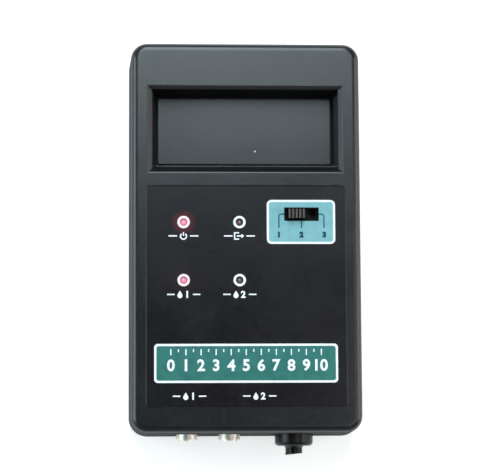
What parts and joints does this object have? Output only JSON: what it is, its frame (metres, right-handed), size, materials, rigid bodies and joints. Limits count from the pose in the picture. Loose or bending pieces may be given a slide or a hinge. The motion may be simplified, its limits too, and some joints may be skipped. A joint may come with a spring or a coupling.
{
  "type": "water level controller",
  "caption": "Handheld water level controller: moulded case with display window, indicator lamps, three-position slide switch, sensor sockets and a cord bushing.",
  "frame": {"origin": "middle of the back face, on the surface that the unit lies on", "axes": "+Z out of the front face, +Y towards the display end, +X to the right as the front is read; the sockets and the cord bushing point along -Y"},
  "size_m": [0.088, 0.1557, 0.0408],
  "materials": {
    "case_plastic": "fine-textured black moulding",
    "label_film": "matte printed film",
    "blank_panel": "matte dark grey panel",
    "lamp_lit": "clear red lens, lit",
    "lamp_dark": "clear red lens, unlit",
    "black_plastic": "smooth black",
    "bushing_plastic": "glossy black nylon",
    "nickel": "nickel-plated brass",
    "contact_brass": "tinned brass",
    "steel": "zinc-plated steel",
    "board": "green laminate",
    "board_brown": "brown laminate",
    "core_steel": "lacquered laminations",
    "winding": "taped copper winding",
    "relay_plastic": "smooth blue",
    "fuse_glass": "glass tube with metal caps",
    "block_plastic": "green plastic",
    "capacitor_sleeve": "dark blue sleeve",
    "resistor_body": "beige lacquer",
    "cable_grey": "grey flat cable",
    "wire_red": "red insulation"
  },
  "bodies": {
    "case": {"front_case": "case_plastic", "rear_case": "case_plastic", "case_screws": "steel", "label_overlay": "label_film", "display_blank": "blank_panel", "blank_screws": "steel", "indicator_board": "board", "indicator_board_screws": "steel", "lamp_power": "lamp_lit", "lamp_output": "lamp_dark", "lamp_sensor_1": "lamp_lit", "lamp_sensor_2": "lamp_dark", "lamp_resistors": "resistor_body", "switch_housing": "black_plastic", "switch_base": "board_brown", "switch_terminals": "contact_brass", "socket_1_sleeve": "nickel", "socket_1_nut": "nickel", "socket_1_housing": "black_plastic", "socket_1_contact": "contact_brass", "socket_2_sleeve": "nickel", "socket_2_nut": "nickel", "socket_2_housing": "black_plastic", "socket_2_contact": "contact_brass", "cord_bushing": "bushing_plastic", "bushing_wedge": "bushing_plastic", "main_board": "board", "main_board_screws": "steel", "transformer_core": "core_steel", "transformer_coil": "winding", "relay": "relay_plastic", "fuse": "fuse_glass", "fuse_clips": "contact_brass", "terminal_block": "block_plastic", "terminal_screws": "steel", "control_chip": "black_plastic", "large_capacitor": "capacitor_sleeve", "small_capacitor": "capacitor_sleeve", "rectifier_diodes": "black_plastic", "voltage_regulator": "black_plastic", "board_resistors": "resistor_body", "ribbon_cable": "cable_grey", "socket_wires": "wire_red"},
    "slider": {"switch_knob": "black_plastic", "switch_contact": "contact_brass"}
  },
  "joints": [
    {"name": "switch_slide", "type": "slide", "parent": "case", "child": "slider", "axis": [1, 0, 0], "range_m": [0, 0.004]}
  ]
}
